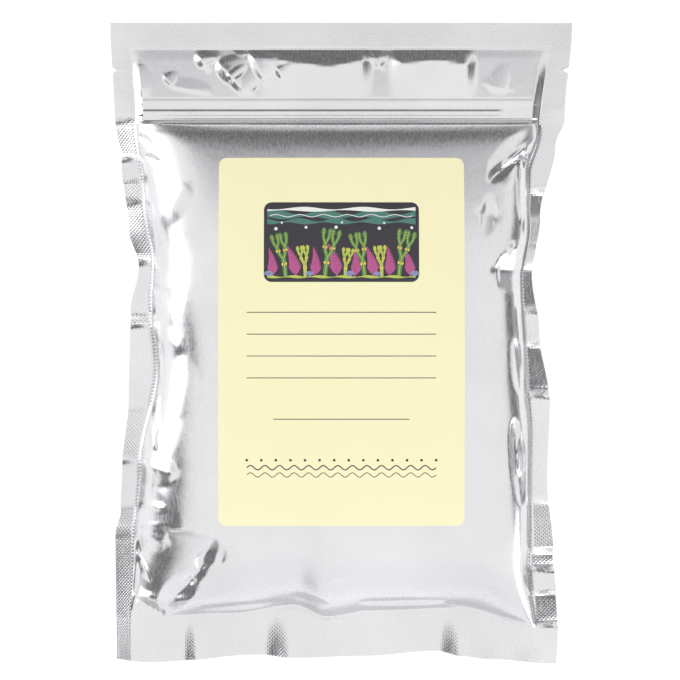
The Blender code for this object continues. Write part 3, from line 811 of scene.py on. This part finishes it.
def ribbon(points, widths):
    """The outline of a ribbon along points, as wide as the widths say."""
    points, widths = np.asarray(points, float), np.asarray(widths, float)
    run = np.gradient(points, axis=0)
    side = np.stack((-run[:, 1], run[:, 0]), axis=-1)
    side /= np.maximum(np.linalg.norm(side, axis=1, keepdims=True), 1e-9)
    left, right = points + side * widths[:, None] / 2, points - side * widths[:, None] / 2
    return [np.array([left[i], right[i], right[i + 1], left[i + 1]]) for i in range(len(points) - 1)]


def ellipse(centre, radii, turn=0.0, sides=20):
    angle = np.linspace(0, 2 * math.pi, sides, endpoint=False)
    x, y = radii[0] * np.cos(angle), radii[1] * np.sin(angle)
    return [np.stack((centre[0] + x * math.cos(turn) - y * math.sin(turn),
                      centre[1] + x * math.sin(turn) + y * math.cos(turn)), axis=-1)]


def arc_line(start, heading, length, bend, steps=9):
    """Points of a stem that starts in a heading and bends evenly on its way."""
    points, place = [np.array(start, float)], np.array(start, float)
    for i in range(steps - 1):
        turned = heading + bend * (i + 0.5) / (steps - 1)
        place = place + length / (steps - 1) * np.array([math.cos(turned), math.sin(turned)])
        points.append(place.copy())
    return np.array(points), heading + bend


def forked_frond(start, heading, length, width, forks, bend, inks):
    """A flat wrack frond that forks again and again, with a midrib, and two air floats below each fork."""
    stem, end_heading = arc_line(start, heading, length, bend, 8)
    inks["blade"] += ribbon(stem, np.linspace(width * 0.8, width, len(stem)))
    inks["rib"] += ribbon(stem, np.full(len(stem), 0.16 * width))
    forward = np.array([math.cos(end_heading), math.sin(end_heading)])
    if forks == 0:
        inks["blade"] += ellipse(stem[-1] + 0.6 * width * forward, (width * 1.1, width * 0.68), end_heading)
        inks["spots"] += [
            spot for step in (0.2, 0.9)
            for spot in ellipse(stem[-1] + step * width * forward, (0.17 * width, 0.17 * width), 0, 8)
        ]
        return
    inks["blade"] += ellipse(stem[-1], (width * 0.5, width * 0.5))
    for side in (-1, 1):
        beside = side * np.array([-forward[1], forward[0]])
        float_place = stem[-3] + 0.36 * width * beside
        inks["spots"] += ellipse(float_place, (0.3 * width, 0.2 * width), end_heading, 12)
        forked_frond(
            stem[-1], end_heading + side * 0.62, length * 0.7, width * 0.82, forks - 1, -side * 0.6, inks
        )


def feather(start, heading, length, leaflets, width):
    """A soft plume: a thin stem with leaflets on both sides that grow shorter towards its tip."""
    stem, _ = arc_line(start, heading, length, 0.35, 12)
    shapes = ribbon(stem, np.linspace(width, width * 0.4, len(stem)))
    for i in range(leaflets):
        share = (i + 1) / (leaflets + 1)
        before = min(int(share * 11), 10)
        spot = stem[before] + (share * 11 % 1) * (stem[before + 1] - stem[before])
        for side in (-1, 1):
            reach, _ = arc_line(spot, heading + side * 0.8, length * 0.34 * (1.05 - share), side * -0.4, 5)
            shapes += ribbon(reach, width * np.array([0.9, 1.3, 1.2, 0.8, 0.2]))
    return shapes


def fan_shell(centre, radius, ribs):
    """A fan of narrow wedges over a small hinge."""
    shapes = []
    for i in range(ribs):
        angle = math.pi * (0.12 + 0.76 * (i + 0.5) / ribs)
        tip = np.array(centre) + radius * np.array([math.cos(angle), math.sin(angle)])
        half = 0.72 * radius * math.pi * 0.76 / ribs / 2
        across = half * np.array([-math.sin(angle), math.cos(angle)])
        shapes += [np.array([centre, tip - across, tip + 0.06 * (tip - np.array(centre)), tip + across])]
    return shapes + ellipse(centre, (0.2 * radius, 0.12 * radius))


def wave_line(start_x, end_x, y, height, waves, width, steps=90):
    x = np.linspace(start_x, end_x, steps)
    turn = 2 * math.pi * waves * (x - start_x) / (end_x - start_x)
    return ribbon(np.stack((x, y + height * np.sin(turn)), axis=-1), np.full(steps, width))


def swell(start_x, end_x, y, height, waves, phase, steps=120):
    """A broad swell: a band whose upper edge rolls, and whose lower edge rolls less and later."""
    x = np.linspace(start_x, end_x, steps)
    turn = 2 * math.pi * waves * (x - start_x) / (end_x - start_x) + phase
    upper, lower = y + height * (0.5 + 0.5 * np.sin(turn)), y - height * (0.55 + 0.3 * np.sin(turn - 1.1))
    return [
        np.array([(x[i], upper[i]), (x[i], lower[i]), (x[i + 1], lower[i + 1]), (x[i + 1], upper[i + 1])])
        for i in range(steps - 1)
    ]


# %% [markdown]
# The ornament stands where the eye expects it, in the label's upper third.
#
# The panel has a dark ground with swells at the top. Green and lime wracks, rosy plumes and pale violet
# shells stand on its floor. A list of the plants keeps the layout in one place.

# %% Layout of the print
PANEL_CENTRE, PANEL_SIZE = (0.0, 41.0), (64.0, 33.0)
FLOOR_Y = PANEL_CENTRE[1] - PANEL_SIZE[1] / 2 + 2.0
GREEN_FRONDS = (
    (-23.0, 1.62, 7.6, 2.1, 2, 0.15), (-6.8, 1.50, 8.4, 2.2, 2, -0.1), (9.6, 1.66, 7.8, 2.1, 2, 0.1),
    (23.6, 1.50, 8.2, 2.2, 2, -0.15),
)
LIME_FRONDS = (
    (-15.0, 1.50, 5.4, 1.5, 2, 0.2), (1.6, 1.62, 5.0, 1.4, 2, -0.2), (16.6, 1.56, 5.4, 1.5, 2, 0.1),
)
PLUMES = (
    (-28.6, 1.50, 12.0, 9), (-18.6, 1.70, 14.0, 10), (-11.2, 1.42, 12.5, 9), (-1.8, 1.66, 14.5, 10),
    (5.4, 1.40, 12.0, 9), (13.4, 1.66, 13.5, 10), (19.6, 1.46, 13.0, 9), (28.4, 1.60, 12.0, 9),
)
SHELLS = ((-30.0, 2.2), (-13.2, 2.0), (3.6, 2.2), (14.8, 1.9), (30.2, 2.2))
BUBBLES = (
    (-27.0, 20.0, 0.7), (-24.6, 22.5, 0.45), (-14.6, 20.6, 0.6), (-2.2, 20.6, 0.7), (0.2, 22.6, 0.45),
    (15.6, 20.2, 0.7), (17.6, 22.4, 0.45), (29.0, 20.4, 0.6),
)
SEA_EDGE, BORDER_HALF = 30.6, 39.0
RULES = ((12.0, 78.0), (3.0, 78.0), (-6.0, 78.0), (-15.0, 78.0), (-32.0, 56.0))


def printed_shapes():
    """Every ink of the print as a name and its flat shapes, from the lowest ink to the highest."""
    green = {"blade": [], "rib": [], "spots": []}
    lime = {"blade": [], "rib": [], "spots": []}
    plumes, shells = [], []
    for fronds, inks in ((GREEN_FRONDS, green), (LIME_FRONDS, lime)):
        for x, heading, length, width, forks, bend in fronds:
            forked_frond((x, FLOOR_Y), heading, length, width, forks, bend, inks)
    for x, heading, length, leaflets in PLUMES:
        plumes += feather((x, FLOOR_Y), heading, length, leaflets, 0.7)
    for x, radius in SHELLS:
        shells += fan_shell((x, FLOOR_Y + 0.4), radius, 7)
    top = PANEL_CENTRE[1] + PANEL_SIZE[1] / 2
    sea = swell(-SEA_EDGE, SEA_EDGE, top - 5.2, 2.2, 3, 0.6)
    sea += swell(-SEA_EDGE, SEA_EDGE, top - 8.0, 1.4, 4, 2.4)
    pale = swell(-SEA_EDGE, SEA_EDGE, top - 3.0, 1.1, 2.5, 4.0)
    pale += wave_line(-29.5, 29.5, top - 5.6, 0.5, 6, 0.3)
    for x, above, radius in BUBBLES:
        pale += ellipse((x, FLOOR_Y + above), (radius, radius), 0, 16)
    sand = swell(-SEA_EDGE, SEA_EDGE, FLOOR_Y + 0.1, 0.7, 6, 1.0)
    rules = []
    for y, length in RULES:
        line = np.stack((np.linspace(-length / 2, length / 2, 24), np.full(24, y)), axis=-1)
        rules += ribbon(line, np.full(24, 0.32))
    rules += wave_line(-BORDER_HALF, BORDER_HALF, -52.0, 0.9, 13, 0.45, 260)
    rules += wave_line(-BORDER_HALF, BORDER_HALF, -55.0, 0.9, 13, 0.3, 260)
    for x in np.linspace(-BORDER_HALF, BORDER_HALF, 14):
        rules += ellipse((x, -48.9), (0.55, 0.55), 0, 12)
    return (
        ("print_dark", rules),
        ("print_sea", sea),
        ("print_plum", plumes),
        ("print_green", green["blade"] + lime["rib"]),
        ("print_lime", lime["blade"] + green["rib"] + sand),
        ("print_gold", green["spots"] + lime["spots"]),
        ("print_violet", shells),
        ("print_pale", pale),
    )


def ink_piece(name, shapes, level):
    """One ink: flat shapes laid on the label's face, each a few hundredths above the ink before it."""
    corners, faces = [], []
    for shape in shapes:
        faces.append(list(range(len(corners), len(corners) + len(shape))))
        corners += list(shape)
    flat = np.array(corners)
    x, y = flat[:, 0], flat[:, 1] + LABEL_RISE
    z = label_surface(x, y) + INK_STEP * (level + 1)
    mesh = bpy.data.meshes.new(name)
    mesh.from_pydata((np.stack((x, y, z), axis=-1) * MM).tolist(), [], faces)
    ink = bpy.data.objects.new(name, mesh)
    bpy.context.scene.collection.objects.link(ink)
    select_only(ink)
    bpy.ops.object.mode_set(mode="EDIT")
    bpy.ops.mesh.select_all(action="SELECT")
    bpy.ops.mesh.remove_doubles(threshold=1e-6)
    bpy.ops.mesh.normals_make_consistent(inside=False)
    bpy.ops.object.mode_set(mode="OBJECT")
    if mesh.polygons[0].normal.z < 0:
        mesh.flip_normals()
    return ink


panel_place = (PANEL_CENTRE[0], PANEL_CENTRE[1] + LABEL_RISE)
panel_ink = rounded_sheet("print_ground", *PANEL_SIZE, LABEL_CORNER, panel_place, (44, 24))
set_corners(panel_ink.data, corners_of(panel_ink.data) + [0, 0, INK_STEP * MM])
inks = [panel_ink]
for level, (ink_name, shapes) in enumerate(printed_shapes()):
    inks.append(ink_piece(ink_name, shapes, level + 1))
print("print:", {ink.name: len(ink.data.polygons) for ink in inks})

# %% [markdown]
# Foil laminate is a mirror that has been handled: its shine is broken by brush lines, grain and small dents.
#
# One function makes it for all the foil. Noise stretched along the pouch gives the brushed look, a finer
# noise gives grain, and slow noise changes the tone and the roughness a little from place to place.

# %% Materials


def node_of(tree, kind, **values):
    node = tree.nodes.new(kind)
    for name, value in values.items():
        setattr(node, name, value)
    return node


def new_material(name):
    material = bpy.data.materials.new(name)
    material.use_nodes = True
    return material, material.node_tree, material.node_tree.nodes["Principled BSDF"]


def noise_of(tree, scale, detail, stretch=(1, 1, 1), turn=0.0):
    """Noise on Object coordinates, with its scale in cells for each millimetre."""
    place = node_of(tree, "ShaderNodeTexCoord")
    mapping = node_of(tree, "ShaderNodeMapping")
    mapping.inputs["Scale"].default_value = [scale / MM * share for share in stretch]
    mapping.inputs["Rotation"].default_value = (0, 0, turn)
    found = node_of(tree, "ShaderNodeTexNoise")
    found.inputs["Scale"].default_value = 1
    found.inputs["Detail"].default_value = detail
    tree.links.new(place.outputs["Object"], mapping.inputs["Vector"])
    tree.links.new(mapping.outputs["Vector"], found.inputs["Vector"])
    return found.outputs["Fac"]


def ranged(tree, value, low, high, start=0.3, end=0.7):
    """A value that runs from low to high as the noise runs from start to end."""
    run = node_of(tree, "ShaderNodeMapRange")
    for name, number in (("From Min", start), ("From Max", end), ("To Min", low), ("To Max", high)):
        run.inputs[name].default_value = number
    tree.links.new(value, run.inputs["Value"])
    return run.outputs["Result"]


def color_between(tree, value, low, high):
    """A color between two, chosen by a noise."""
    mix = node_of(tree, "ShaderNodeMix", data_type="RGBA")
    mix.inputs["A"].default_value = (*low, 1)
    mix.inputs["B"].default_value = (*high, 1)
    tree.links.new(ranged(tree, value, 0, 1), mix.inputs["Factor"])
    return mix.outputs["Result"]


def bumps(tree, shader, layers):
    """Bump nodes in a row, each a noise, its strength and its depth in mm."""
    normal = None
    for value, strength, depth in layers:
        bump = node_of(tree, "ShaderNodeBump")
        bump.inputs["Strength"].default_value = strength
        bump.inputs["Distance"].default_value = depth * MM
        tree.links.new(value, bump.inputs["Height"])
        if normal is not None:
            tree.links.new(normal, bump.inputs["Normal"])
        normal = bump.outputs["Normal"]
    tree.links.new(normal, shader.inputs["Normal"])


def foil_material(name, low, high, smoothest, roughest, brush):
    material, tree, shader = new_material(name)
    shader.inputs["Metallic"].default_value = 1
    slow = noise_of(tree, 0.03, 3)
    tree.links.new(color_between(tree, slow, low, high), shader.inputs["Base Color"])
    streaks = noise_of(tree, 1.0, 3, (1.6, 0.28, 1), 0.3)
    tree.links.new(ranged(tree, streaks, smoothest, roughest), shader.inputs["Roughness"])
    grain = noise_of(tree, 2.6, 2)
    dents = noise_of(tree, 0.16, 4)
    bumps(tree, shader, ((dents, 0.22, 0.35), (streaks, brush, 0.04), (grain, brush * 0.3, 0.02)))
    return material


def paper_material(name):
    material, tree, shader = new_material(name)
    fibres = noise_of(tree, 1.2, 5)
    slow = noise_of(tree, 0.02, 2)
    cream = color_between(tree, slow, (0.93, 0.88, 0.55), (0.95, 0.90, 0.58))
    tree.links.new(cream, shader.inputs["Base Color"])
    tree.links.new(ranged(tree, fibres, 0.42, 0.56), shader.inputs["Roughness"])
    shader.inputs["Specular IOR Level"].default_value = 0.35
    bumps(tree, shader, ((fibres, 0.15, 0.03),))
    return material


def ink_material(name, low, high):
    material, tree, shader = new_material(name)
    grain = noise_of(tree, 3.0, 4)
    tree.links.new(color_between(tree, grain, low, high), shader.inputs["Base Color"])
    tree.links.new(ranged(tree, grain, 0.36, 0.50), shader.inputs["Roughness"])
    bumps(tree, shader, ((grain, 0.1, 0.01),))
    return material


def plastic_material(name, color):
    material, tree, shader = new_material(name)
    flow = noise_of(tree, 0.8, 3, (0.1, 1, 1))
    darker = [0.9 * value for value in color]
    tree.links.new(color_between(tree, flow, darker, color), shader.inputs["Base Color"])
    tree.links.new(ranged(tree, flow, 0.30, 0.42), shader.inputs["Roughness"])
    shader.inputs["Transmission Weight"].default_value = 0.25
    bumps(tree, shader, ((flow, 0.2, 0.05),))
    return material


def seaweed_material(name):
    material, tree, shader = new_material(name)
    flakes = noise_of(tree, 0.25, 6)
    grain = noise_of(tree, 1.5, 4)
    olive = color_between(tree, flakes, (0.018, 0.014, 0.008), (0.11, 0.085, 0.035))
    tree.links.new(olive, shader.inputs["Base Color"])
    tree.links.new(ranged(tree, grain, 0.65, 0.95), shader.inputs["Roughness"])
    bumps(tree, shader, ((flakes, 0.8, 1.2), (grain, 0.5, 0.3)))
    return material


front_foil = foil_material("front_foil_finish", (0.66, 0.66, 0.67), (0.71, 0.71, 0.72), 0.20, 0.32, 0.16)
seal_foil = foil_material("sealed_foil_finish", (0.66, 0.66, 0.67), (0.71, 0.71, 0.72), 0.18, 0.30, 0.18)
back_foil = foil_material("back_foil_finish", (0.68, 0.68, 0.69), (0.74, 0.74, 0.75), 0.20, 0.32, 0.25)
INKS = {
    "print_ground": ((0.022, 0.020, 0.028), (0.035, 0.030, 0.040)),
    "print_dark": ((0.022, 0.020, 0.028), (0.035, 0.030, 0.040)),
    "print_sea": ((0.05, 0.16, 0.14), (0.09, 0.24, 0.20)),
    "print_plum": ((0.42, 0.06, 0.22), (0.56, 0.12, 0.32)),
    "print_green": ((0.07, 0.20, 0.05), (0.13, 0.30, 0.08)),
    "print_lime": ((0.42, 0.50, 0.06), (0.56, 0.62, 0.12)),
    "print_gold": ((0.80, 0.56, 0.06), (0.90, 0.66, 0.12)),
    "print_violet": ((0.26, 0.30, 0.58), (0.38, 0.42, 0.70)),
    "print_pale": ((0.80, 0.84, 0.78), (0.88, 0.90, 0.84)),
}


def dress(piece, material, replaced=()):
    """Give a new piece its finish and its body, and hide the imported parts that it replaces."""
    piece.data.materials.clear()
    piece.data.materials.append(material)
    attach(piece, "root")
    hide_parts(*replaced)


dress(front_web, front_foil, ["front_panel"])
dress(zip_and_flap, front_foil, ["front_panel"])
dress(sealed_margin, seal_foil, ["front_panel", "back_panel"])
dress(back_web, back_foil, ["back_panel"])
dress(paper_label, paper_material("label_paper_finish"), ["label"])
for ink in inks:
    dress(ink, ink_material(ink.name + "_ink", *INKS[ink.name]))
dress(cut_seaweed, seaweed_material("cut_seaweed_finish"), ["herb_fill"])
for node, material in (
    ("zip_groove_strip", plastic_material("groove_plastic_finish", (0.86, 0.87, 0.88))),
    ("zip_rib_strip", plastic_material("rib_plastic_finish", (0.82, 0.83, 0.85))),
):
    for i in range(len(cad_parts[node].data.materials)):
        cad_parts[node].data.materials[i] = material
finished = [front_web, zip_and_flap, sealed_margin, back_web, paper_label, *inks, cut_seaweed]
print("finished pieces:", [piece.name for piece in finished])

# %% [markdown]
# Foil shows what is round it, so the studio is most of its look: a white tent with a few darker openings.
#
# The sky's brightness changes with height, and soft round patches, each a direction, a reach and a
# brightness, make the windows and the gaps of the tent. The white floor glows a little, as a lit sheet does.

# %% Studio
TENT = ((0.0, 0.14), (0.10, 0.17), (0.26, 0.50), (0.42, 0.84), (0.62, 0.90), (0.98, 0.86))
PATCHES = (
    ((0.0, 0.58, 0.81), 0.985, 0.93, 0.52),
    ((-0.10, 0.87, 0.48), 0.95, 0.89, 0.13),
    ((-0.80, -0.30, 0.52), 0.94, 0.89, 0.12),
    ((-0.90, 0.30, 0.30), 0.935, 0.89, 2.0),
    ((0.86, 0.44, 0.26), 0.96, 0.90, 0.35),
    ((0.78, -0.02, 0.62), 0.955, 0.91, 0.13),
    ((0.76, -0.56, 0.32), 0.95, 0.90, 2.0),
    ((0.0, -0.98, 0.18), 0.96, 0.86, 0.85),
)
TENT_STRENGTH = 1.34


def studio_world():
    world = bpy.data.worlds.new("white_tent")
    bpy.context.scene.world = world
    world.use_nodes = True
    tree = world.node_tree
    tree.nodes.clear()
    place = node_of(tree, "ShaderNodeTexCoord")
    split = node_of(tree, "ShaderNodeSeparateXYZ")
    ramp = node_of(tree, "ShaderNodeValToRGB")
    background = node_of(tree, "ShaderNodeBackground")
    output = node_of(tree, "ShaderNodeOutputWorld")
    tree.links.new(place.outputs["Generated"], split.inputs[0])
    tree.links.new(split.outputs["Z"], ramp.inputs[0])
    first, last = ramp.color_ramp.elements
    first.position, first.color = TENT[0][0], (*[TENT[0][1]] * 3, 1)
    last.position, last.color = TENT[-1][0], (*[TENT[-1][1]] * 3, 1)
    for position, value in TENT[1:-1]:
        ramp.color_ramp.elements.new(position).color = (value, value, value, 1)
    sky = ramp.outputs["Color"]
    for direction, inner, outer, value in PATCHES:
        near = node_of(tree, "ShaderNodeVectorMath", operation="DOT_PRODUCT")
        near.inputs[1].default_value = Vector(direction).normalized()
        tree.links.new(place.outputs["Generated"], near.inputs[0])
        share = ranged(tree, near.outputs["Value"], 0, 1, outer, inner)
        share.node.interpolation_type = "SMOOTHSTEP"
        mix = node_of(tree, "ShaderNodeMix", data_type="RGBA")
        mix.inputs["B"].default_value = (value, value, value * 1.03, 1)
        tree.links.new(share, mix.inputs["Factor"])
        tree.links.new(sky, mix.inputs["A"])
        sky = mix.outputs["Result"]
    tree.links.new(sky, background.inputs["Color"])
    tree.links.new(background.outputs[0], output.inputs["Surface"])
    background.inputs["Strength"].default_value = TENT_STRENGTH


def white_floor():
    deselect()
    bpy.ops.mesh.primitive_plane_add(size=8, location=(0, 0, -0.0002))
    floor = bpy.context.active_object
    floor.name = "white_floor"
    material, tree, shader = new_material("floor_white")
    shader.inputs["Base Color"].default_value = (0.9, 0.9, 0.9, 1)
    shader.inputs["Roughness"].default_value = 0.9
    shader.inputs["Emission Color"].default_value = (1, 1, 1, 1)
    shader.inputs["Emission Strength"].default_value = 0.35
    floor.data.materials.append(material)


studio_world()
white_floor()
bpy.context.scene.view_settings.view_transform = "Standard"
print("studio:", len(PATCHES), "patches in the tent")
